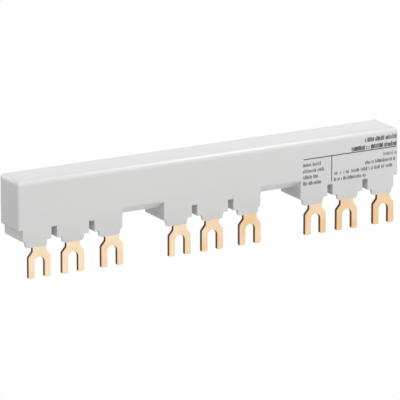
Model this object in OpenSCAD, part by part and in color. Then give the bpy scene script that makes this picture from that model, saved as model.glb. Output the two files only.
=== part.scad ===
// Three-phase comb busbar for a row of motor starters.
// A moulded tray and its rear cover hold three stamped copper bars in a stack from front to
// rear. Each bar sends one forked leg down to every starter, and the legs of the two rear bars
// are joggled forward, so that all forks lie in one plane behind the tray's front wall.
// The origin is the centre of the slot round of the middle fork of the middle starter, halfway
// through the copper. X runs along the busbar, Y from the front wall to the cover, Z up.

/* [Layout] */
// Number of starters that the busbar feeds
starters = 3; // [2:1:4]
// Distance from one starter to the next
starter_pitch = 54; // [50:0.5:63]
// Distance from the left fork of a starter to its middle fork
left_pitch = 12.75; // [12:0.05:13.5]
// Distance from the middle fork of a starter to its right fork
right_pitch = 14.95; // [14:0.05:15.2]
// Distance that the middle fork stands to the right of the middle of its foot
fork_shift = 0.6; // [-0.4:0.1:0.8]

/* [Copper bars] */
// Thickness of the copper strip
copper_t = 1.4; // [1:0.1:1.8]
// Height of the web that joins the legs of a bar
web_h = 10; // [8:0.5:10.5]
// Width of a leg
neck_w = 5.2; // [4.6:0.1:5.4]
// Width of a fork over both prongs
fork_w = 8.4; // [8:0.1:9]
// Width of the slot between the prongs
slot_w = 3.8; // [3.4:0.1:4.4]
// Length of the prongs below the centre of the slot round
prong_l = 5.4; // [4:0.1:8]
// Height above the slot centre at which the fork reaches its full width
head_z = 2; // [1.5:0.1:2.4]
// Height of the sloping shoulders
shoulder_h = 1.8; // [1.4:0.1:2.2]
// Radius of the bends in a shoulder's outline
shoulder_r = 0.9; // [0.5:0.1:1.2]
// Radius at the corners of the prong ends
prong_r = 0.4; // [0.2:0.1:0.8]
// Length of the straight root of a leg below its web
root_l = 0.6; // [0.5:0.1:0.8]
// Radius where a leg leaves its web
root_r = 0.5; // [0.2:0.1:0.5]
// Distance that a web reaches past its outer legs
web_end = 0.6; // [0.5:0.05:0.8]
// Angle between a joggled leg and the vertical
joggle_angle = 60; // [50:1:64]
// Radius of a joggle's bends, to the middle of the strip
bend_r = 1.65; // [1.4:0.05:1.9]

/* [Housing] */
// Height of the body, from its underside to its top
body_h = 17.4; // [16.6:0.1:20]
// Depth of the body, from the front wall to the back of the cover
body_d = 14.2; // [13.6:0.1:17]
// Distance that the body reaches past the outer feet
end_margin = 1.7; // [1.4:0.1:6]
// Thickness of the front wall and of the tongues
front_wall = 1.15; // [0.9:0.05:1.8]
// Thickness of the floor, the roof and the end walls
shell_wall = 1.6; // [1.2:0.1:1.7]
// Thickness of the rear cover
cover_t = 1.7; // [1.2:0.1:2.2]
// Radius along the top edge of the front wall
top_front_r = 2.5; // [1:0.1:2.7]
// Radius along the top edge of the rear cover
top_rear_r = 2; // [1:0.1:3]
// Radius along the top edges of the ends
end_top_r = 2.2; // [1:0.1:3]
// Radius of the upright edges at the front
front_corner_r = 0.9; // [0.4:0.1:1.6]
// Radius of the upright edges at the rear
rear_corner_r = 2; // [1:0.1:3]
// Radius along the edges of the underside
underside_r = 0.8; // [0.3:0.1:1.2]
// Height of the bevel under the front wall, between two feet
bevel_h = 3; // [2:0.1:3.4]
// Depth of that bevel
bevel_d = 4.4; // [3:0.1:6]
// Radius of the bevel's two edges
bevel_r = 1; // [0.4:0.1:1.2]

/* [Feet] */
// Width of the foot over each starter
foot_w = 38; // [37.6:0.1:40]
// Height of the feet below the body
foot_h = 3.9; // [3.4:0.1:5]
// Width of the middle tab of a foot
middle_tab_w = 12.1; // [10.5:0.1:13]
// Width of the notches between the tabs
notch_w = 2.15; // [1.5:0.05:2.6]
// Radius of the tabs' lower edges and front corners
tab_r = 0.4; // [0.2:0.1:0.8]
// Radius of the tabs' rear corners
tab_rear_r = 1; // [0.4:0.1:1.4]
// Distance between the tongues below the tabs
tongue_pitch = 14; // [13.4:0.1:14.4]
// Width of a tongue where it leaves its tab
tongue_w = 8.4; // [7.6:0.1:9]
// Width of a tongue at its tip
tip_w = 7.5; // [6.4:0.1:7.6]
// Length of the tongues
tongue_l = 2.1; // [1.4:0.1:2.6]
// Radius at the corners of the tongue tips
tip_r = 0.8; // [0.4:0.1:1.2]
// Height of the tongue tips above the slot centre
tip_z = 5.8; // [4.6:0.1:8]

/* [Inside] */
// Thickness of the separators between the bars
separator_t = 2; // [1.6:0.1:2.2]
// Distance that the separators reach below the webs
separator_drop = 1.5; // [1:0.1:2]
// Clearance on each face of the bars and separators
stack_gap = 0.05; // [0.02:0.01:0.1]
// Space left above the webs
roof_gap = 0.3; // [0.1:0.1:0.6]
// Clearance between a leg and the sides of its floor slot
slot_gap = 0.15; // [0.1:0.05:0.25]
// Clearance between the tray and what the cover puts into it
cover_gap = 0.1; // [0.05:0.05:0.2]
// Thickness of the ribs that carry and press the stack
rib_t = 1.6; // [1:0.1:2.4]
// Distance between the two ribs of a bay
rib_pitch = 9; // [5:0.5:12]
// Depth of the cover's rim inside the tray
rim_d = 1.8; // [1:0.1:2]
// Thickness of that rim
rim_t = 1.2; // [0.8:0.1:1.6]
// Height of the fingers that close the floor slots behind the legs
finger_h = 2.4; // [1.6:0.1:2.6]

/* [Hidden] */
$fn = 48;

// Cutting tools and the roots of added pieces reach this much past a face
over = 1;

// Positions along the busbar
first = -floor((starters - 1) / 2);
last = first + starters - 1;
function starter_x(i) = i * starter_pitch;
function foot_x(i) = starter_x(i) - fork_shift;
fork_dx = [-left_pitch, 0, right_pitch];
body_x0 = foot_x(first) - foot_w / 2 - end_margin;
body_x1 = foot_x(last) + foot_w / 2 + end_margin;
slot_leg_w = neck_w + 2 * slot_gap;

// Positions from front to rear
bar_pitch = copper_t + separator_t + 2 * stack_gap;
inner_y = -copper_t / 2 - stack_gap;
front_y = inner_y - front_wall;
rear_y = front_y + body_d;
part_y = rear_y - cover_t;
stack_y = 2 * bar_pitch + copper_t / 2;

// Heights above the slot centre
foot_z = tip_z + tongue_l;
underside_z = foot_z + foot_h;
top_z = underside_z + body_h;
floor_z = underside_z + shell_wall;
roof_z = top_z - shell_wall;
web_top_z = roof_z - roof_gap;
web_z = web_top_z - web_h;
root_z = web_z - root_l;
separator_z = web_z - separator_drop;

// Unit vector along v
function unit(v) = v / norm(v);
// Turn at corner i of an outline, positive to the left
function turn(p, i) =
    let (n = len(p), a = p[i] - p[(i + n - 1) % n], b = p[(i + 1) % n] - p[i])
    a.x * b.y - a.y * b.x;

// Piece between the corner b of a, b, c and the arc that rounds it
module blend(a, b, c, r) {
    u = unit(a - b);
    v = unit(c - b);
    half = acos(u * v) / 2;
    w = unit(u + v);
    centre = b + w * r / sin(half);
    tangent = r / tan(half);
    difference() {
        polygon([b - w * over / 4, b + u * tangent, centre, b + v * tangent]);
        translate(centre) circle(r = r);
    }
}

// Outline through corner points, counter-clockwise, each with its own radius
module rounded_outline(points, radii) {
    n = len(points);
    difference() {
        union() {
            polygon(points);
            for (i = [0:n - 1])
                if (radii[i] > 0 && turn(points, i) < 0)
                    blend(points[(i + n - 1) % n], points[i], points[(i + 1) % n], radii[i]);
        }
        for (i = [0:n - 1])
            if (radii[i] > 0 && turn(points, i) > 0)
                blend(points[(i + n - 1) % n], points[i], points[(i + 1) % n], radii[i]);
    }
}

// Rectangle from a to b, with radii from the lower left corner counter-clockwise
module rounded_rect(a, b, radii) {
    rounded_outline([a, [b.x, a.y], b, [a.x, b.y]], radii);
}

// Y-Z outline drawn out along X from x0 to x1
module along_x(x0, x1) {
    translate([x0, 0, 0]) rotate([90, 0, 90]) linear_extrude(x1 - x0) children();
}

// X-Z outline drawn out along Y from y0 to y1
module along_y(y0, y1) {
    translate([0, y1, 0]) rotate([90, 0, 0]) linear_extrude(y1 - y0) children();
}

// X-Y outline drawn out along Z from z0 to z1
module along_z(z0, z1) {
    translate([0, 0, z0]) linear_extrude(z1 - z0) children();
}

// Box between two opposite corners
module box(a, b) {
    translate(a) cube(b - a);
}

// ---- Copper bars ----

// Front outline of bar k's web, with the straight roots of its legs
module web_outline(k) {
    neck = neck_w / 2;
    flare = neck + web_end;
    translate([starter_x(first) + fork_dx[k] - flare, web_z])
        square([(last - first) * starter_pitch + 2 * flare, web_h]);
    for (i = [first:last])
        translate([starter_x(i) + fork_dx[k], web_z])
            rounded_outline(
                [[-neck, -root_l], [neck, -root_l], [neck, 0], [flare, 0],
                 [flare, over], [-flare, over], [-flare, 0], [-neck, 0]],
                [0, 0, root_r, 0, 0, 0, 0, root_r]);
}

// Front outline of a leg, from its fork up to z1
module fork_outline(z1) {
    neck = neck_w / 2;
    head = fork_w / 2;
    slot = slot_w / 2;
    difference() {
        rounded_outline(
            [[-head, -prong_l], [-slot, -prong_l], [-slot, 0], [slot, 0],
             [slot, -prong_l], [head, -prong_l], [head, head_z], [neck, head_z + shoulder_h],
             [neck, z1], [-neck, z1], [-neck, head_z + shoulder_h], [-head, head_z]],
            [prong_r, prong_r, 0, 0, prong_r, prong_r, shoulder_r, shoulder_r,
             0, 0, shoulder_r, shoulder_r]);
        circle(r = slot);
    }
}

// Height that a joggle takes to move a leg forward by dy
function joggle_h(dy) = 2 * bend_r * tan(joggle_angle / 2) + dy / tan(joggle_angle);

// Joggled stretch of a leg below its root, which stands dy behind the forks
module joggle(dy) {
    half = copper_t / 2;
    k = tan(joggle_angle / 2);
    low_z = root_z - joggle_h(dy);
    z0 = low_z + bend_r * k;
    z1 = root_z - bend_r * k;
    inside = bend_r - half;
    outside = bend_r + half;
    along_x(-neck_w / 2, neck_w / 2)
        rounded_outline(
            [[-half, low_z - over], [half, low_z - over], [half, z0 - half * k],
             [dy + half, z1 - half * k], [dy + half, web_z + over], [dy - half, web_z + over],
             [dy - half, z1 + half * k], [-half, z0 + half * k]],
            [0, 0, inside, outside, 0, 0, inside, outside]);
}

// Places what is drawn at each leg of bar k
module at_legs(k) {
    for (i = [first:last])
        translate([starter_x(i) + fork_dx[k], 0, 0]) children();
}

// Bar number k from the front, with joggled legs: its web and one fork for each starter
module joggled_bar(k) {
    y = k * bar_pitch;
    along_y(y - copper_t / 2, y + copper_t / 2) web_outline(k);
    at_legs(k) {
        along_y(-copper_t / 2, copper_t / 2) fork_outline(root_z - joggle_h(y));
        joggle(y);
    }
}

// Bar behind the front wall, with straight legs to the left forks
module front_bar() {
    color([0.85, 0.62, 0.45])
        along_y(-copper_t / 2, copper_t / 2) {
            web_outline(0);
            at_legs(0) fork_outline(web_z + over);
        }
}

// Middle bar, joggled to the middle forks
module middle_bar() {
    color([0.85, 0.62, 0.45]) joggled_bar(1);
}

// Rear bar, joggled to the right forks
module rear_bar() {
    color([0.85, 0.62, 0.45]) joggled_bar(2);
}

// ---- Separators ----

// Strip in front of bar k, relieved where the legs of that bar pass forward below it
module separator(k) {
    y1 = k * bar_pitch - copper_t / 2 - stack_gap;
    x0 = body_x0 + shell_wall + cover_gap;
    x1 = body_x1 - shell_wall - cover_gap;
    difference() {
        box([x0, y1 - separator_t, separator_z], [x1, y1, web_top_z]);
        for (i = [first:last])
            translate([starter_x(i) + fork_dx[k], 0, 0])
                box([-slot_leg_w / 2, y1 - separator_t - over, separator_z - over],
                    [slot_leg_w / 2, y1 + over, web_z + roof_gap]);
    }
}

// Separator between the front bar and the middle bar
module front_separator() {
    color([0.93, 0.92, 0.88]) separator(1);
}

// Separator between the middle bar and the rear bar
module rear_separator() {
    color([0.93, 0.92, 0.88]) separator(2);
}

// ---- Housing ----

// Closed body, rounded along its edges
module body_block() {
    intersection() {
        along_x(body_x0 - over, body_x1 + over)
            rounded_rect([front_y, underside_z], [rear_y, top_z],
                         [underside_r, underside_r, top_rear_r, top_front_r]);
        along_y(front_y - over, rear_y + over)
            rounded_rect([body_x0, underside_z], [body_x1, top_z],
                         [underside_r, underside_r, end_top_r, end_top_r]);
        along_z(underside_z - over, top_z + over)
            rounded_rect([body_x0, front_y], [body_x1, rear_y],
                         [front_corner_r, front_corner_r, rear_corner_r, rear_corner_r]);
    }
}

// Front outline of the three tabs of one foot
module tab_outline() {
    inner = middle_tab_w / 2;
    z1 = underside_z + over;
    rounded_rect([-inner, foot_z], [inner, z1], [tab_r, tab_r, 0, 0]);
    rounded_rect([inner + notch_w, foot_z], [foot_w / 2, z1], [tab_r, tab_r, 0, 0]);
    rounded_rect([-foot_w / 2, foot_z], [-inner - notch_w, z1], [tab_r, tab_r, 0, 0]);
}

// Foot over one starter, from its lower face up into the body
module foot() {
    half = foot_w / 2;
    intersection() {
        along_y(front_y - over, rear_y + over) tab_outline();
        along_x(-half - over, half + over)
            rounded_rect([front_y, foot_z], [rear_y, underside_z + over],
                         [tab_r, tab_rear_r, 0, 0]);
        along_z(foot_z - over, underside_z + 2 * over)
            rounded_rect([-half, front_y], [half, rear_y], [tab_r, tab_r, tab_rear_r, tab_rear_r]);
    }
}

// Bevel under the front wall from x0 to x1, with its edges rounded
module bevel_cut(x0, x1) {
    along_x(x0, x1) difference() {
        translate([front_y - over, underside_z - over])
            square([bevel_d + bevel_r + over, bevel_h + bevel_r + over]);
        rounded_outline(
            [[front_y, underside_z + bevel_h], [front_y + bevel_d, underside_z],
             [rear_y, underside_z], [rear_y, top_z], [front_y, top_z]],
            [bevel_r, bevel_r, 0, 0, 0]);
    }
}

// Outside of tray and cover together
module casing() {
    difference() {
        union() {
            body_block();
            for (i = [first:last])
                translate([foot_x(i), 0, 0]) foot();
        }
        for (i = [first:last - 1])
            bevel_cut(foot_x(i) + foot_w / 2, foot_x(i + 1) - foot_w / 2);
    }
}

// Tongue that screens a leg in front, below its tab
module tongue() {
    along_y(front_y, inner_y)
        rounded_outline(
            [[-tip_w / 2, tip_z], [tip_w / 2, tip_z], [tongue_w / 2, foot_z],
             [tongue_w / 2, foot_z + over], [-tongue_w / 2, foot_z + over],
             [-tongue_w / 2, foot_z]],
            [tip_r, tip_r, 0, 0, 0, 0]);
}

// Rib across the tray at x: lands carry the webs, and the separators stand between them
module ledge_rib(x) {
    box([x - rib_t / 2, inner_y - over, floor_z - over], [x + rib_t / 2, stack_y, separator_z]);
    for (k = [0:2])
        box([x - rib_t / 2, k * bar_pitch - copper_t / 2 - (k == 0 ? over : 0),
             separator_z - over],
            [x + rib_t / 2, k * bar_pitch + copper_t / 2, web_z]);
}

// Inside of the bevel, which keeps the wall at its thickness, from x0 to x1
module bevel_wall(x0, x1) {
    slope = bevel_h / bevel_d;
    lift = shell_wall * norm([bevel_h, bevel_d]) / bevel_d;
    y0 = inner_y - over;
    z0 = floor_z - over;
    z_at_y0 = underside_z + bevel_h - (y0 - front_y) * slope + lift;
    along_x(x0, x1)
        polygon([[y0, z0], [y0 + (z_at_y0 - z0) / slope, z0], [y0, z_at_y0]]);
}

// Middle of the bay between starter i and the next
function bay_x(i) = (foot_x(i) + foot_x(i + 1)) / 2;

// Space inside the tray, open to the rear
module cavity() {
    difference() {
        box([body_x0 + shell_wall, inner_y, floor_z],
            [body_x1 - shell_wall, part_y + over, roof_z]);
        for (i = [first:last - 1]) {
            bevel_wall(foot_x(i) + foot_w / 2 - over, foot_x(i + 1) - foot_w / 2 + over);
            for (side = [-1, 1])
                ledge_rib(bay_x(i) + side * rib_pitch / 2);
        }
    }
}

// Tray: front, roof, ends, floor, feet and tongues in one moulding
module front_housing() {
    color([0.86, 0.86, 0.86]) difference() {
        union() {
            casing();
            for (i = [first:last], side = [-1:1])
                translate([foot_x(i) + side * tongue_pitch, 0, 0]) tongue();
        }
        box([body_x0 - over, part_y, foot_z - over], [body_x1 + over, rear_y + over, top_z + over]);
        cavity();
        for (i = [first:last], dx = fork_dx)
            translate([starter_x(i) + dx, 0, 0])
                box([-slot_leg_w / 2, inner_y, foot_z - over],
                    [slot_leg_w / 2, part_y + over, floor_z + over]);
    }
}

// Rim of the cover, which fits just inside the tray's walls
module cover_rim() {
    a = [body_x0 + shell_wall + cover_gap, floor_z + cover_gap];
    b = [body_x1 - shell_wall - cover_gap, roof_z - cover_gap];
    along_y(part_y - rim_d, part_y + over) difference() {
        translate(a) square(b - a);
        translate(a + [rim_t, rim_t]) square(b - a - 2 * [rim_t, rim_t]);
    }
}

// Cover: rear wall, rim, ribs that press the stack, and a finger behind each leg
module rear_cover() {
    finger = slot_leg_w / 2 - cover_gap;
    color([0.83, 0.83, 0.83]) {
        intersection() {
            casing();
            box([body_x0 - over, part_y, foot_z - over],
                [body_x1 + over, rear_y + over, top_z + over]);
        }
        cover_rim();
        for (i = [first:last - 1], side = [-1, 1])
            translate([bay_x(i) + side * rib_pitch / 2, 0, 0])
                box([-rib_t / 2, stack_y + stack_gap, web_z + over],
                    [rib_t / 2, part_y + over / 2, web_top_z - over]);
        for (i = [first:last], dx = fork_dx)
            translate([starter_x(i) + dx, 0, 0])
                box([-finger, copper_t / 2 + cover_gap, foot_z],
                    [finger, part_y + over / 2, foot_z + finger_h]);
    }
}

front_housing();
rear_cover();
front_bar();
middle_bar();
rear_bar();
front_separator();
rear_separator();
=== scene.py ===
"""Comb busbar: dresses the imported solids, prints the tray's front and sets the stage."""

import math

import bmesh
import bpy
from mathutils import Euler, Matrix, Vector


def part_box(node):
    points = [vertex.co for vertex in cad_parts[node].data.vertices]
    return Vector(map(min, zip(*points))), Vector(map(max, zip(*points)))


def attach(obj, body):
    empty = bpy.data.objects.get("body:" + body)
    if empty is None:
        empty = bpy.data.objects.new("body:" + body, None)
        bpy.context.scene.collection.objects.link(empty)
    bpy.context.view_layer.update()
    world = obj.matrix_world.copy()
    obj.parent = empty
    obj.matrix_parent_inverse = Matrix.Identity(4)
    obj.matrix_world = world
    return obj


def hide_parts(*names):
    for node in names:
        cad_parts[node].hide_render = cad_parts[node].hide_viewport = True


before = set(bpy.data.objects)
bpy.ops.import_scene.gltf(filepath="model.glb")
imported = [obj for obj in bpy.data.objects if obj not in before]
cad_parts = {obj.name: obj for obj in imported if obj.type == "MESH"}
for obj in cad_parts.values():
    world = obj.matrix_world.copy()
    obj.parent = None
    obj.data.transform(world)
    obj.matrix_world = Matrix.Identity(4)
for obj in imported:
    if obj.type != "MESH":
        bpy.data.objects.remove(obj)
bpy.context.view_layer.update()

bl_info = {
    "name": "Comb Busbar",
    "version": (1, 0, 0),
    "blender": (4, 5, 0),
    "location": "3D View > Sidebar > Busbar",
    "description": "Dresses a three-phase comb busbar and sets its stage",
    "category": "Object",
}

MM = 0.001
WHITE = (1.0, 1.0, 1.0, 1.0)
# Body of the frame that carries every piece
ROOT = "root"
# Attribute of a printed row's ends that holds the height of its strokes
ROW_HEIGHT = "row_height"

# Opposite corners of the tray and of the front bar
BODY_LOW, BODY_HIGH = (Vector(corner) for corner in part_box("front_housing"))
FORK_LOW, FORK_HIGH = (Vector(corner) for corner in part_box("front_bar"))


# ---- Node helpers ----

# Sockets of the Mix node for colours, and of the Random Value node
MIX_LOW, MIX_HIGH, MIX_RESULT = 6, 7, 2
RANDOM_LOW, RANDOM_HIGH, RANDOM_NUMBER, RANDOM_CHOICE = 2, 3, 1, 3


class Socket:
    """An output socket, on which Python operators add Math nodes."""

    def __init__(self, tree, link):
        self.tree = tree
        self.link = link

    def math(self, operation, *others, clamp=False):
        """Adds a Math node on this socket and the others, in that order."""
        return self.tree.add("ShaderNodeMath", dict(enumerate((self, *others))),
                             operation=operation, use_clamp=clamp)

    def __add__(self, other):
        return self.math("ADD", other)

    def __radd__(self, other):
        return self.math("ADD", other)

    def __sub__(self, other):
        return self.math("SUBTRACT", other)

    def __rsub__(self, other):
        return self.tree.add("ShaderNodeMath", {0: other, 1: self}, operation="SUBTRACT")

    def __mul__(self, other):
        return self.math("MULTIPLY", other)

    def __truediv__(self, other):
        return self.math("DIVIDE", other)

    def __abs__(self):
        return self.math("ABSOLUTE")

    def clamped(self):
        """This, held between 0 and 1."""
        return self.math("ADD", 0.0, clamp=True)

    def above(self, edge, blur):
        """1 where this is over edge, with a soft step of width blur."""
        return ((self - (edge - blur / 2)) / blur).clamped()

    def below(self, edge, blur):
        """1 where this is under edge, with a soft step of width blur."""
        return 1 - self.above(edge, blur)


class Tree:
    """A node tree, with one method that adds any node."""

    def __init__(self, node_tree):
        self.nodes = node_tree.nodes
        self.links = node_tree.links
        self.nodes.clear()

    def node(self, kind, inputs, **settings):
        """Adds a node, sets its settings first and its inputs after."""
        node = self.nodes.new(kind)
        for key, setting in settings.items():
            setattr(node, key, setting)
        for key, item in inputs.items():
            socket = node.inputs[key]
            if isinstance(item, Socket):
                self.links.new(item.link, socket)
            else:
                socket.default_value = item
        return node

    def add(self, kind, inputs, output=0, **settings):
        """Adds a node and returns one of its outputs."""
        return Socket(self, self.node(kind, inputs, **settings).outputs[output])


class Finish(Tree):
    """The tree of a new material, with the patterns that the finishes share."""

    def __init__(self, name):
        self.material = bpy.data.materials.new(name)
        self.material.use_nodes = True
        super().__init__(self.material.node_tree)

    def place(self, scale):
        """Object coordinates, stretched by scale."""
        where = self.add("ShaderNodeTexCoord", {}, output="Object")
        return self.add("ShaderNodeMapping", {"Vector": where, "Scale": scale})

    def axes(self, output="Object"):
        """The three object coordinates in metres, or the three parts of the normal."""
        where = self.add("ShaderNodeTexCoord", {}, output=output)
        split = self.node("ShaderNodeSeparateXYZ", {"Vector": where})
        return [Socket(self, part) for part in split.outputs]

    def noise(self, size, detail=3.0, stretch=(1, 1, 1), rough=0.5):
        """Noise whose features are about size metres across, longer where stretch is small."""
        scale = tuple(s / size for s in stretch)
        return self.add("ShaderNodeTexNoise",
                        {"Vector": self.place(scale), "Scale": 1.0,
                         "Detail": detail, "Roughness": rough})

    def mix(self, factor, low, high):
        """Colour between low and high."""
        return self.add("ShaderNodeMix", {"Factor": factor, MIX_LOW: low, MIX_HIGH: high},
                        output=MIX_RESULT, data_type="RGBA")

    def bump(self, height, strength):
        """Normal of a surface raised by height in metres."""
        return self.add("ShaderNodeBump",
                        {"Height": height, "Distance": 1.0, "Strength": strength})

    def complete(self, shader):
        """Sends a shader to the material's output."""
        self.node("ShaderNodeOutputMaterial", {"Surface": shader})
        return self.material

    def surface(self, inputs):
        """Completes the material with a Principled shader."""
        return self.complete(self.add("ShaderNodeBsdfPrincipled", inputs))


def rgba(colour):
    """Colour with full alpha."""
    return (*colour, 1.0)


def tinted(colour, factor):
    """Colour made lighter or darker by a factor."""
    return rgba([min(1.0, c * factor) for c in colour])


# ---- Materials ----

# Moulding: flow clouds and grain, which change tone and roughness, and a slow swell
FLOW_SIZE = 16 * MM
FLOW_STRETCH = (0.35, 1, 1)
FLOW_TONES = (0.985, 1.015)
FLOW_ROUGHNESS = 0.05
GRAIN_SIZE = 0.14 * MM
GRAIN_ROUGHNESS = 0.08
SWELL_SIZE = 7 * MM
SWELL_DEPTH = 0.02 * MM
MOULDED_BUMP = 0.6

# Copper faces: roll marks along the legs, and clouds that deepen the tone along the bar
FACE_NORMAL = 0.6
FACE_BLUR = 0.3
ROLL_SIZE = 0.22 * MM
ROLL_STRETCH = (1, 1, 0.04)
ROLL_DEPTH = 0.003 * MM
CLOUD_SIZE = 9 * MM
DEEP_START = 0.05
DEEP_ALONG = 0.75
DEEP_CLOUD = 2.2
DEEP_ROLL = 0.05

# Copper edges: drag marks through the thickness, and the burnished band with its blur
DRAG_SIZE = 0.12 * MM
DRAG_STRETCH = (1, 0.06, 1)
DRAG_DEPTH = 0.012 * MM
BURNISH_BLUR = 0.12 * MM
BURNISH_LEAST = 0.6
BURNISH_DRAG = 0.5

# Roughness of the copper's broken edges, and what changes it elsewhere
BROKEN_ROUGHNESS = 0.48
FACE_POLISH = 0.16
BURNISH_POLISH = 0.12
ROLL_ROUGHNESS = 0.06
COPPER_BUMP = 0.7

# Insulating strips and printed ink
STRIP_CLOUD_SIZE = 6 * MM
STRIP_SHADE = 0.97
STRIP_ROUGHNESS = 0.6
INK_CLOUD_SIZE = 1.2 * MM
THIN_INK = 1.9
INK_ROUGHNESS = 0.45
THIN_INK_ROUGHNESS = 0.1


def housing_material(finish):
    """Light grey moulding: fine mould grain, faint flow clouds and a slow swell."""
    t = Finish("moulded_grey")
    flow = t.noise(FLOW_SIZE, detail=2.0, stretch=FLOW_STRETCH)
    grain = t.noise(GRAIN_SIZE, detail=2.0, rough=0.6)
    swell = t.noise(SWELL_SIZE, detail=1.0)
    dark, light = (tinted(finish.housing_colour, tone) for tone in FLOW_TONES)
    height = grain * finish.grain_depth + swell * SWELL_DEPTH
    return t.surface({
        "Base Color": t.mix(flow, dark, light),
        "Roughness": (finish.housing_roughness + grain * GRAIN_ROUGHNESS
                      + flow * FLOW_ROUGHNESS),
        "Normal": t.bump(height, MOULDED_BUMP),
    })


def copper_material(finish):
    """Bare rolled copper: the faces have fine marks along the leg and change in tone
    from leg to leg, the stamped edges a burnished band and a darker broken one,
    both painted nearly black as painted shade for the dark surroundings that the edges mirror."""
    t = Finish("bare_copper")
    x, y, _ = t.axes()
    face = abs(t.axes("Normal")[1]).above(FACE_NORMAL, FACE_BLUR)
    rolled = t.noise(ROLL_SIZE, stretch=ROLL_STRETCH)
    dragged = t.noise(DRAG_SIZE, stretch=DRAG_STRETCH)
    cloud = t.noise(CLOUD_SIZE, detail=2.0)
    along = (x - FORK_LOW.x) / (FORK_HIGH.x - FORK_LOW.x)
    deep = (along * DEEP_ALONG + (cloud - 0.5) * DEEP_CLOUD - DEEP_START
            + rolled * DEEP_ROLL).clamped()
    face_tone = t.mix(deep, rgba(finish.copper_colour), rgba(finish.deep_copper_colour))
    band = y.below(FORK_LOW.y + finish.burnish_width, BURNISH_BLUR)
    burnished = band * (BURNISH_LEAST + dragged * BURNISH_DRAG)
    # Both edge colours are painted shade: copper made nearly black where the stamped edges
    # mirror dark surroundings
    edge_tone_and_shade = t.mix(burnished, rgba(finish.broken_and_shaded_colour), rgba(finish.burnished_and_shaded_colour))
    height = rolled * face * ROLL_DEPTH + dragged * (1 - face) * DRAG_DEPTH
    return t.surface({
        "Base Color": t.mix(face, edge_tone_and_shade, face_tone),
        "Metallic": 1.0,
        "Roughness": (BROKEN_ROUGHNESS - face * FACE_POLISH - burnished * BURNISH_POLISH
                      + rolled * ROLL_ROUGHNESS),
        "Normal": t.bump(height, COPPER_BUMP),
    })


def strip_material(finish):
    """Plain off-white insulating strip."""
    t = Finish("insulating_strip")
    cloud = t.noise(STRIP_CLOUD_SIZE, detail=2.0)
    shade = tinted(finish.strip_colour, STRIP_SHADE)
    colour = t.mix(cloud, shade, rgba(finish.strip_colour))
    return t.surface({"Base Color": colour, "Roughness": STRIP_ROUGHNESS})


def ink_material(ink):
    """Dark pad-printed ink, a little thinner in places."""
    t = Finish("printed_ink")
    thin = t.noise(INK_CLOUD_SIZE, detail=2.0)
    colour = t.mix(thin, rgba(ink.ink_colour), tinted(ink.ink_colour, THIN_INK))
    return t.surface({"Base Color": colour,
                      "Roughness": INK_ROUGHNESS + thin * THIN_INK_ROUGHNESS})


# ---- Meshes ----

# CAD vertices closer than this are one, and faces turned less than this are one
MERGE_DISTANCE = 0.0005 * MM
FLAT_ANGLE = math.radians(0.5)
# Edges sharper than this get the bevel, and those still sharper than this show as edges
BEVEL_ANGLE = math.radians(40)
SMOOTH_ANGLE = math.radians(32)
BEVEL_SEGMENTS = 2
# Least and greatest width and height of a stroke, as shares of its row's
STROKE_WIDTHS = (0.7, 1.25)
STROKE_HEIGHTS = (0.62, 1.0)


def piece_from(name, mesh):
    """New object at the origin with a mesh."""
    piece = bpy.data.objects.new(name, mesh)
    bpy.context.scene.collection.objects.link(piece)
    return piece


def bake(piece):
    """Turns the piece's modifiers into its plain mesh."""
    baked = bpy.data.meshes.new_from_object(
        piece.evaluated_get(bpy.context.evaluated_depsgraph_get()))
    piece.modifiers.clear()
    piece.data = baked
    baked.name = piece.name


def dressed_copy(node_name, name, bevel_width):
    """Copy of a CAD node with merged faces, a fine bevel and smooth shading."""
    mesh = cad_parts[node_name].data.copy()
    mesh.materials.clear()
    shape = bmesh.new()
    shape.from_mesh(mesh)
    bmesh.ops.remove_doubles(shape, verts=shape.verts, dist=MERGE_DISTANCE)
    bmesh.ops.dissolve_limit(shape, angle_limit=FLAT_ANGLE, verts=shape.verts,
                             edges=shape.edges, delimit={"NORMAL"})
    shape.to_mesh(mesh)
    shape.free()
    piece = piece_from(name, mesh)
    bevel = piece.modifiers.new("edge", "BEVEL")
    bevel.width = bevel_width
    bevel.segments = BEVEL_SEGMENTS
    bevel.limit_method = "ANGLE"
    bevel.angle_limit = BEVEL_ANGLE
    bevel.use_clamp_overlap = True
    bake(piece)
    smooth_by_angle(piece.data, SMOOTH_ANGLE)
    return piece


def smooth_by_angle(mesh, angle):
    """Smooth faces, with edges over the angle marked sharp."""
    mesh.shade_smooth()
    shape = bmesh.new()
    shape.from_mesh(mesh)
    for edge in shape.edges:
        edge.smooth = edge.is_manifold and edge.calc_face_angle(0.0) < angle
    shape.to_mesh(mesh)
    shape.free()


def dress(node_name, name, material, bevel_width):
    """Replaces a CAD node by its dressed copy."""
    piece = dressed_copy(node_name, name, bevel_width)
    piece.data.materials.append(material)
    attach(piece, ROOT)
    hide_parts(node_name)


def printed_boxes(name, boxes, ink):
    """Thin printed rectangles on the front wall: x0, x1, z0, z1 each."""
    shape = bmesh.new()
    for x0, x1, z0, z1 in boxes:
        made = bmesh.ops.create_cube(shape, size=1.0)["verts"]
        bmesh.ops.scale(shape, vec=(x1 - x0, 2 * ink.depth, z1 - z0), verts=made)
        bmesh.ops.translate(shape, vec=((x0 + x1) / 2, BODY_LOW.y, (z0 + z1) / 2),
                            verts=made)
    mesh = bpy.data.meshes.new(name)
    shape.to_mesh(mesh)
    shape.free()
    return piece_from(name, mesh)


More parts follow.
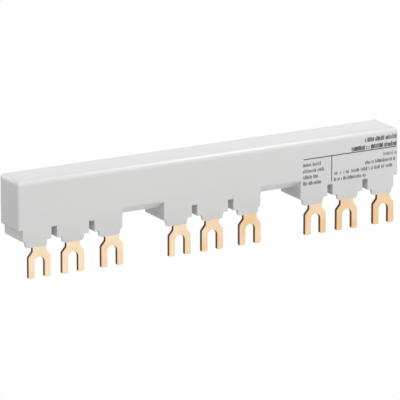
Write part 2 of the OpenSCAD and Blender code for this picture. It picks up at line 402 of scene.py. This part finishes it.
def stroke_tree():
    """Rows of short upright strokes with gaps, along the edges of a mesh."""
    group = bpy.data.node_groups.new("stroke_rows", "GeometryNodeTree")
    kinds = {"Rows": "NodeSocketGeometry", "Pitch": "NodeSocketFloat",
             "Stroke": "NodeSocketFloat", "Depth": "NodeSocketFloat",
             "Gaps": "NodeSocketFloat", "Seed": "NodeSocketInt",
             "Ink": "NodeSocketMaterial"}
    keys = {}
    for name, kind in kinds.items():
        socket = group.interface.new_socket(name, in_out="INPUT", socket_type=kind)
        keys[name] = socket.identifier
    group.interface.new_socket("Strokes", in_out="OUTPUT",
                               socket_type="NodeSocketGeometry")
    t = Tree(group)
    given = t.node("NodeGroupInput", {})
    value = {name: Socket(t, given.outputs[name]) for name in kinds}
    row = t.add("GeometryNodeMeshToCurve", {"Mesh": value["Rows"]})
    points = t.add("GeometryNodeResampleCurve",
                   {"Curve": row, "Length": value["Pitch"]}, mode="LENGTH")
    kept = t.add("FunctionNodeRandomValue",
                 {"Probability": 1 - value["Gaps"], "Seed": value["Seed"]},
                 output=RANDOM_CHOICE, data_type="BOOLEAN")
    wide, tall = (
        t.add("FunctionNodeRandomValue",
              {RANDOM_LOW: low, RANDOM_HIGH: high, "Seed": value["Seed"] + step},
              output=RANDOM_NUMBER, data_type="FLOAT")
        for step, (low, high) in enumerate((STROKE_WIDTHS, STROKE_HEIGHTS), start=1))
    height = t.add("GeometryNodeInputNamedAttribute", {"Name": ROW_HEIGHT},
                   data_type="FLOAT")
    cube = t.add("GeometryNodeMeshCube", {"Size": (1, 1, 1)})
    standing = t.add("GeometryNodeTransform",
                     {"Geometry": cube, "Translation": (0, 0, 0.5)})
    size = t.add("ShaderNodeCombineXYZ", {"X": height * value["Stroke"] * wide,
                                          "Y": value["Depth"] * 2,
                                          "Z": height * tall})
    strokes = t.add("GeometryNodeInstanceOnPoints",
                    {"Points": points, "Selection": kept, "Instance": standing,
                     "Scale": size})
    real = t.add("GeometryNodeRealizeInstances", {"Geometry": strokes})
    inked = t.add("GeometryNodeSetMaterial", {"Geometry": real, "Material": value["Ink"]})
    t.node("NodeGroupOutput", {"Strokes": inked})
    return group, keys


def printed_rows(name, rows, ink, material):
    """Rows of strokes on the front wall: x0, x1, base height and stroke height each."""
    mesh = bpy.data.meshes.new(name)
    ends = [(x, BODY_LOW.y, z) for x0, x1, z, tall in rows for x in (x0, x1)]
    mesh.from_pydata(ends, [(2 * i, 2 * i + 1) for i in range(len(rows))], [])
    heights = mesh.attributes.new(ROW_HEIGHT, "FLOAT", "POINT")
    heights.data.foreach_set("value", [tall for *_, tall in rows for _ in range(2)])
    piece = piece_from(name, mesh)
    group, keys = stroke_tree()
    modifier = piece.modifiers.new("strokes", "NODES")
    modifier.node_group = group
    for key, setting in (("Pitch", ink.stroke_pitch), ("Stroke", ink.stroke_share),
                         ("Depth", ink.depth), ("Gaps", ink.gap_share),
                         ("Seed", ink.seed), ("Ink", material)):
        modifier[keys[key]] = setting
    bake(piece)
    return piece


def print_layout(ink):
    """Rectangles of the rules, and rows of the two columns and of the heading."""
    right = BODY_HIGH.x - ink.margin
    left = right - ink.width
    rule = BODY_HIGH.z - ink.rule_drop
    half = ink.rule_width / 2
    divider = left + ink.divider_place
    rules = [(left, right, rule - half, rule + half),
             (divider - half, divider + half, rule - ink.divider_length, rule)]
    rows = []

    def row(x0, x1, number):
        """Notes a row of small strokes, counted down from the rule."""
        base = rule - ink.row_drop - number * ink.row_pitch
        rows.append((x0, x1, base, ink.small_height))

    for number, length in enumerate(ink.left_rows):
        row(left, left + length, number)
    second = divider + ink.column_gap
    for number, (x0, x1) in enumerate(((right - ink.short_row, right),
                                       (right - ink.middle_row, right),
                                       (second, right - ink.column_gap),
                                       (second, second + ink.middle_row))):
        row(x0, x1, number)
    for number, length in enumerate(ink.heading_rows):
        base = rule + ink.heading_rise + number * ink.heading_pitch
        rows.append((right - length, right, base, ink.large_height))
    return rules, rows


# ---- Settings ----

class BusbarFinish(bpy.types.PropertyGroup):
    """Colours and edges of the moulded and stamped pieces."""

    housing_colour: bpy.props.FloatVectorProperty(
        name="Housing Colour", description="Colour of the moulded tray and cover",
        default=(0.66, 0.66, 0.655), subtype="COLOR", min=0.0, max=1.0)
    housing_roughness: bpy.props.FloatProperty(
        name="Housing Roughness", description="Lowest roughness of the moulded surface",
        default=0.31, min=0.0, max=1.0)
    copper_colour: bpy.props.FloatVectorProperty(
        name="Copper Colour", description="Light tone of the rolled copper faces",
        default=(0.985, 0.775, 0.555), subtype="COLOR", min=0.0, max=1.0)
    deep_copper_colour: bpy.props.FloatVectorProperty(
        name="Deep Copper Colour", description="Deep tone of the rolled copper faces",
        default=(0.875, 0.605, 0.35), subtype="COLOR", min=0.0, max=1.0)
    # The burnished and broken colours keep the real bands' order, but are painted nearly
    # black: painted shade for the dark surroundings that the stamped edges mirror
    burnished_and_shaded_colour: bpy.props.FloatVectorProperty(
        name="Burnished Colour", description="Smooth band of the stamped edges",
        default=(0.19, 0.098, 0.026), subtype="COLOR", min=0.0, max=1.0)
    broken_and_shaded_colour: bpy.props.FloatVectorProperty(
        name="Broken Colour", description="Broken band of the stamped edges",
        default=(0.072, 0.033, 0.005), subtype="COLOR", min=0.0, max=1.0)
    strip_colour: bpy.props.FloatVectorProperty(
        name="Strip Colour", description="Colour of the insulating strips",
        default=(0.78, 0.77, 0.72), subtype="COLOR", min=0.0, max=1.0)
    grain_depth: bpy.props.FloatProperty(
        name="Grain Depth", description="Depth of the moulded grain",
        default=0.006 * MM, min=0.0, max=0.1 * MM, unit="LENGTH")
    edge_radius: bpy.props.FloatProperty(
        name="Edge Radius", description="Bevel along the sharp moulded edges",
        default=0.18 * MM, min=0.0, unit="LENGTH")
    burr_radius: bpy.props.FloatProperty(
        name="Stamped Edge Radius", description="Bevel along the copper's edges",
        default=0.1 * MM, min=0.0, unit="LENGTH")
    burnish_width: bpy.props.FloatProperty(
        name="Burnish Width", description="Width of the smooth band of the stamped edges",
        default=0.5 * MM, min=0.0, unit="LENGTH")


class BusbarPrint(bpy.types.PropertyGroup):
    """Sizes of the plain print at the right end: rules and rows of strokes, no lettering."""

    ink_colour: bpy.props.FloatVectorProperty(
        name="Ink Colour", description="Colour of the printed rules and strokes",
        default=(0.05, 0.05, 0.055), subtype="COLOR", min=0.0, max=1.0)
    depth: bpy.props.FloatProperty(
        name="Ink Depth", description="Height of the ink on the wall",
        default=0.012 * MM, min=0.0, unit="LENGTH")
    margin: bpy.props.FloatProperty(
        name="Margin", description="Distance of the print from the right end",
        default=1.0 * MM, min=0.0, unit="LENGTH")
    width: bpy.props.FloatProperty(
        name="Print Width", description="Width of the printed field",
        default=37.6 * MM, min=0.0, unit="LENGTH")
    rule_drop: bpy.props.FloatProperty(
        name="Rule Drop", description="Distance from the top of the body to the rule",
        default=6.9 * MM, min=0.0, unit="LENGTH")
    rule_width: bpy.props.FloatProperty(
        name="Rule Width", description="Width of the printed rules",
        default=0.36 * MM, min=0.0, unit="LENGTH")
    divider_place: bpy.props.FloatProperty(
        name="Divider Place", description="Distance of the divider from the rule's left end",
        default=11.4 * MM, min=0.0, unit="LENGTH")
    divider_length: bpy.props.FloatProperty(
        name="Divider Length", description="Length of the divider below the rule",
        default=9.3 * MM, min=0.0, unit="LENGTH")
    row_drop: bpy.props.FloatProperty(
        name="First Row Drop", description="Distance from the rule to the first row's foot",
        default=2.7 * MM, min=0.0, unit="LENGTH")
    row_pitch: bpy.props.FloatProperty(
        name="Row Pitch", description="Distance between the feet of two rows",
        default=2.2 * MM, min=0.0, unit="LENGTH")
    small_height: bpy.props.FloatProperty(
        name="Small Stroke", description="Height of the strokes in the columns",
        default=1.35 * MM, min=0.0, unit="LENGTH")
    large_height: bpy.props.FloatProperty(
        name="Large Stroke", description="Height of the strokes in the heading",
        default=1.75 * MM, min=0.0, unit="LENGTH")
    heading_rise: bpy.props.FloatProperty(
        name="Heading Rise", description="Distance from the rule up to the heading",
        default=0.4 * MM, min=0.0, unit="LENGTH")
    heading_pitch: bpy.props.FloatProperty(
        name="Heading Pitch", description="Distance between the feet of the heading's rows",
        default=2.6 * MM, min=0.0, unit="LENGTH")
    heading_rows: bpy.props.FloatVectorProperty(
        name="Heading Rows", description="Lengths of the heading's rows",
        default=(18.0 * MM, 12.5 * MM), size=2, min=0.0, unit="LENGTH")
    left_rows: bpy.props.FloatVectorProperty(
        name="Left Rows", description="Lengths of the left column's rows",
        default=(6.8 * MM, 8.2 * MM, 5.6 * MM, 7.4 * MM), size=4, min=0.0, unit="LENGTH")
    short_row: bpy.props.FloatProperty(
        name="Short Row", description="Length of the right column's first row",
        default=5.0 * MM, min=0.0, unit="LENGTH")
    middle_row: bpy.props.FloatProperty(
        name="Middle Row", description="Length of the right column's half rows",
        default=12.5 * MM, min=0.0, unit="LENGTH")
    column_gap: bpy.props.FloatProperty(
        name="Column Gap", description="Distance of the rows from the divider",
        default=1.2 * MM, min=0.0, unit="LENGTH")
    stroke_pitch: bpy.props.FloatProperty(
        name="Stroke Pitch", description="Distance between two strokes",
        default=0.46 * MM, min=0.01 * MM, unit="LENGTH")
    stroke_share: bpy.props.FloatProperty(
        name="Stroke Share", description="Width of a stroke as a share of its height",
        default=0.21, min=0.0, max=1.0, subtype="FACTOR")
    gap_share: bpy.props.FloatProperty(
        name="Gap Share", description="Share of the strokes that are left out",
        default=0.12, min=0.0, max=1.0, subtype="FACTOR")
    seed: bpy.props.IntProperty(
        name="Seed", description="Changes which strokes are left out", default=4)


class BusbarStage(bpy.types.PropertyGroup):
    """Camera, lamps and floor."""

    camera_azimuth: bpy.props.FloatProperty(
        name="Camera Azimuth", description="Turn of the camera to the object's left",
        default=math.radians(29.53), subtype="ANGLE")
    camera_elevation: bpy.props.FloatProperty(
        name="Camera Elevation", description="Height of the camera above the horizon",
        default=math.radians(15.53), subtype="ANGLE")
    camera_place: bpy.props.FloatVectorProperty(
        name="Camera Place", description="Where the camera stands",
        default=(-0.7031, -1.2332, 0.4068), subtype="TRANSLATION", unit="LENGTH")
    camera_lens: bpy.props.FloatProperty(
        name="Lens", description="Focal length in millimetres on a 36 mm sensor",
        default=387.3, min=1.0)
    floor_drop: bpy.props.FloatProperty(
        name="Floor Drop", description="Distance from the fork tips down to the floor",
        default=75 * MM, min=0.0, unit="LENGTH")
    floor_size: bpy.props.FloatProperty(
        name="Floor Size", description="Side of the square floor",
        default=6.0, min=0.1, unit="LENGTH")
    floor_tone: bpy.props.FloatProperty(
        name="Floor Tone", description="Brightness of the floor's paper and of the card",
        default=0.9, min=0.0, max=1.0)
    table_tone: bpy.props.FloatProperty(
        name="Table Tone", description="Brightness of what sends light back from below",
        default=0.12, min=0.0, max=1.0)
    card_blur: bpy.props.FloatProperty(
        name="Card Blur", description="Half the width over which the card fades",
        default=0.05, min=0.001, unit="LENGTH")
    floor_lift: bpy.props.FloatProperty(
        name="Floor Lift", description="Share of plain white that the eye sees on the floor",
        default=0.88, min=0.0, max=1.0, subtype="FACTOR")
    world_light: bpy.props.FloatProperty(
        name="Room Light", description="Strength of the even light of the room",
        default=0.58, min=0.0)
    front_power: bpy.props.FloatProperty(
        name="Front Power", description="Power of the low strip in front",
        default=2.9, min=0.0, unit="POWER")
    side_power: bpy.props.FloatProperty(
        name="Side Power", description="Power of the raised lamp at the left end",
        default=1.7, min=0.0, unit="POWER")
    top_power: bpy.props.FloatProperty(
        name="Top Power", description="Power of the lamp overhead",
        default=1.4, min=0.0, unit="POWER")
    edge_power: bpy.props.FloatProperty(
        name="Edge Power", description="Power of the small lamp over the top edge",
        default=4.0, min=0.0, unit="POWER")
    rear_power: bpy.props.FloatProperty(
        name="Rear Power", description="Power of the soft lamp behind",
        default=2.6, min=0.0, unit="POWER")


# ---- Operators ----

class BUSBAR_OT_housing(bpy.types.Operator):
    """Dresses the tray and its rear cover"""

    bl_idname = "busbar.housing"
    bl_label = "Dress Housing"

    def execute(self, context):
        finish = context.scene.busbar_finish
        material = housing_material(finish)
        dress("front_housing", "moulded_tray", material, finish.edge_radius)
        dress("rear_cover", "moulded_cover", material, finish.edge_radius)
        return {"FINISHED"}


class BUSBAR_OT_copper(bpy.types.Operator):
    """Dresses the three stamped copper bars"""

    bl_idname = "busbar.copper"
    bl_label = "Dress Copper Bars"

    def execute(self, context):
        finish = context.scene.busbar_finish
        material = copper_material(finish)
        for place in ("front", "middle", "rear"):
            dress(f"{place}_bar", f"{place}_copper", material,
                  finish.burr_radius)
        return {"FINISHED"}


class BUSBAR_OT_strips(bpy.types.Operator):
    """Gives the insulating strips their finish"""

    bl_idname = "busbar.strips"
    bl_label = "Dress Separators"

    def execute(self, context):
        material = strip_material(context.scene.busbar_finish)
        for place in ("front", "rear"):
            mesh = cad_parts[f"{place}_separator"].data
            mesh.materials.clear()
            mesh.materials.append(material)
        return {"FINISHED"}


class BUSBAR_OT_print(bpy.types.Operator):
    """Prints the rules and the rows of strokes on the tray's front"""

    bl_idname = "busbar.print"
    bl_label = "Print Front"

    def execute(self, context):
        ink = context.scene.busbar_print
        material = ink_material(ink)
        rules, rows = print_layout(ink)
        ruled = printed_boxes("printed_rules", rules, ink)
        ruled.data.materials.append(material)
        stroked = printed_rows("printed_rows", rows, ink, material)
        for piece in (ruled, stroked):
            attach(piece, ROOT)
        return {"FINISHED"}


class BUSBAR_OT_stage(bpy.types.Operator):
    """Sets the floor, the lamps, the world and the camera"""

    bl_idname = "busbar.stage"
    bl_label = "Set Stage"

    def execute(self, context):
        stage = context.scene.busbar_stage
        set_view(context.scene)
        set_world(context.scene, stage)
        add_floor(context.scene, stage)
        add_lamps(context.scene, stage)
        add_camera(context.scene, stage)
        return {"FINISHED"}


# ---- Stage ----

SENSOR_WIDTH = 36.0
CAMERA_REACH = 100.0
# Place of each lamp from the middle of the body, its width and its height, in metres
LAMPS = {
    "front": ((0.15, -1.1, -0.03), 0.9, 0.1),
    "side": ((-1.0, -0.05, 0.6), 0.7, 0.7),
    "top": ((0.0, 0.1, 1.0), 0.9, 0.9),
    "edge": ((0.50, -0.14, 0.88), 0.24, 0.24),
    "rear": ((-0.3, 1.1, 0.35), 0.8, 0.6),
}


def set_view(scene):
    """Shows colours as they are written."""
    scene.view_settings.view_transform = "Standard"


def seen_directly(t):
    """1 for rays that come from the camera or from a glossy or clear surface."""
    path = t.node("ShaderNodeLightPath", {})
    camera, glossy, clear = (Socket(t, path.outputs[name]) for name in
                             ("Is Camera Ray", "Is Glossy Ray", "Is Transmission Ray"))
    return camera.math("MAXIMUM", glossy).math("MAXIMUM", clear)


def set_world(scene, stage):
    """White to the eye and to gloss, and plain soft light to everything else."""
    world = bpy.data.worlds.new("studio")
    world.use_nodes = True
    t = Tree(world.node_tree)
    light, white = (t.add("ShaderNodeBackground", {"Color": WHITE, "Strength": strength})
                    for strength in (stage.world_light, 1.0))
    both = t.add("ShaderNodeMixShader", {0: seen_directly(t), 1: light, 2: white})
    t.node("ShaderNodeOutputWorld", {"Surface": both})
    scene.world = world


def floor_material(stage):
    """Pale paper, lifted towards white for the eye, so that only a soft shadow shows.
    The light that it sends back comes from a white card in front of the forks."""
    t = Finish("pale_floor")
    seen = seen_directly(t)
    card = t.axes()[1].below(FORK_LOW.y - stage.card_blur, 2 * stage.card_blur)
    bounce = stage.table_tone + card * (stage.floor_tone - stage.table_tone)
    tone = bounce + seen * (stage.floor_tone - bounce)
    paper = t.add("ShaderNodeBsdfDiffuse", {"Color": tone})
    white = t.add("ShaderNodeEmission", {"Color": WHITE, "Strength": 1.0})
    both = t.add("ShaderNodeMixShader", {0: seen * stage.floor_lift, 1: paper, 2: white})
    return t.complete(both)


def add_floor(scene, stage):
    """Wide pale floor below the forks."""
    half = stage.floor_size / 2
    z = FORK_LOW.z - stage.floor_drop
    mesh = bpy.data.meshes.new("floor")
    mesh.from_pydata([(-half, -half, z), (half, -half, z), (half, half, z), (-half, half, z)],
                     [], [(0, 1, 2, 3)])
    mesh.materials.append(floor_material(stage))
    floor = bpy.data.objects.new("floor", mesh)
    scene.collection.objects.link(floor)


def add_lamp(scene, name, place, aim, width, height, power):
    """Soft lamp at place, turned to aim."""
    lamp = bpy.data.lights.new(name, "AREA")
    lamp.shape = "RECTANGLE"
    lamp.size = width
    lamp.size_y = height
    lamp.energy = power
    item = bpy.data.objects.new(name, lamp)
    item.location = place
    item.rotation_euler = (aim - place).to_track_quat("-Z", "Y").to_euler()
    scene.collection.objects.link(item)
    return item


def add_lamps(scene, stage):
    """A low strip in front, a raised lamp at the left end, a wide top, a small one that
    draws the top edge and a soft one behind. Gloss doesn't mirror the narrow strip."""
    centre = (BODY_LOW + BODY_HIGH) / 2
    for name, (way, width, height) in LAMPS.items():
        power = getattr(stage, f"{name}_power")
        lamp = add_lamp(scene, name, centre + Vector(way), centre, width, height, power)
        lamp.visible_glossy = name != "front"


def add_camera(scene, stage):
    """Camera with a long lens, turned to the object's left and raised."""
    camera = bpy.data.cameras.new("camera")
    camera.lens = stage.camera_lens
    camera.sensor_width = SENSOR_WIDTH
    camera.clip_end = CAMERA_REACH
    item = bpy.data.objects.new("camera", camera)
    item.location = stage.camera_place
    item.rotation_euler = Euler((math.pi / 2 - stage.camera_elevation, 0.0,
                                 -stage.camera_azimuth))
    scene.collection.objects.link(item)
    scene.camera = item


# ---- Panel and registration ----

class BUSBAR_PT_panel(bpy.types.Panel):
    """Lists the busbar's operators"""

    bl_idname = "BUSBAR_PT_panel"
    bl_label = "Comb Busbar"
    bl_space_type = "VIEW_3D"
    bl_region_type = "UI"
    bl_category = "Busbar"

    def draw(self, context):
        for operator in OPERATORS:
            self.layout.operator(operator.bl_idname)
        for group in GROUPS:
            settings = getattr(context.scene, group)
            column = self.layout.column()
            for name in settings.__annotations__:
                column.prop(settings, name)


GROUPS = {"busbar_finish": BusbarFinish, "busbar_print": BusbarPrint,
          "busbar_stage": BusbarStage}
OPERATORS = (BUSBAR_OT_housing, BUSBAR_OT_copper, BUSBAR_OT_strips, BUSBAR_OT_print,
             BUSBAR_OT_stage)
CLASSES = (*GROUPS.values(), *OPERATORS, BUSBAR_PT_panel)


def register():
    """Registers the classes and hangs the settings on the scene."""
    for item in CLASSES:
        bpy.utils.register_class(item)
    for name, group in GROUPS.items():
        setattr(bpy.types.Scene, name, bpy.props.PointerProperty(type=group))


def unregister():
    """Takes the settings and the classes away again."""
    for name in GROUPS:
        delattr(bpy.types.Scene, name)
    for item in reversed(CLASSES):
        bpy.utils.unregister_class(item)


def main():
    """Dresses every piece and sets the stage."""
    register()
    bpy.ops.busbar.housing()
    bpy.ops.busbar.copper()
    bpy.ops.busbar.strips()
    bpy.ops.busbar.print()
    bpy.ops.busbar.stage()


if __name__ == "__main__":
    main()
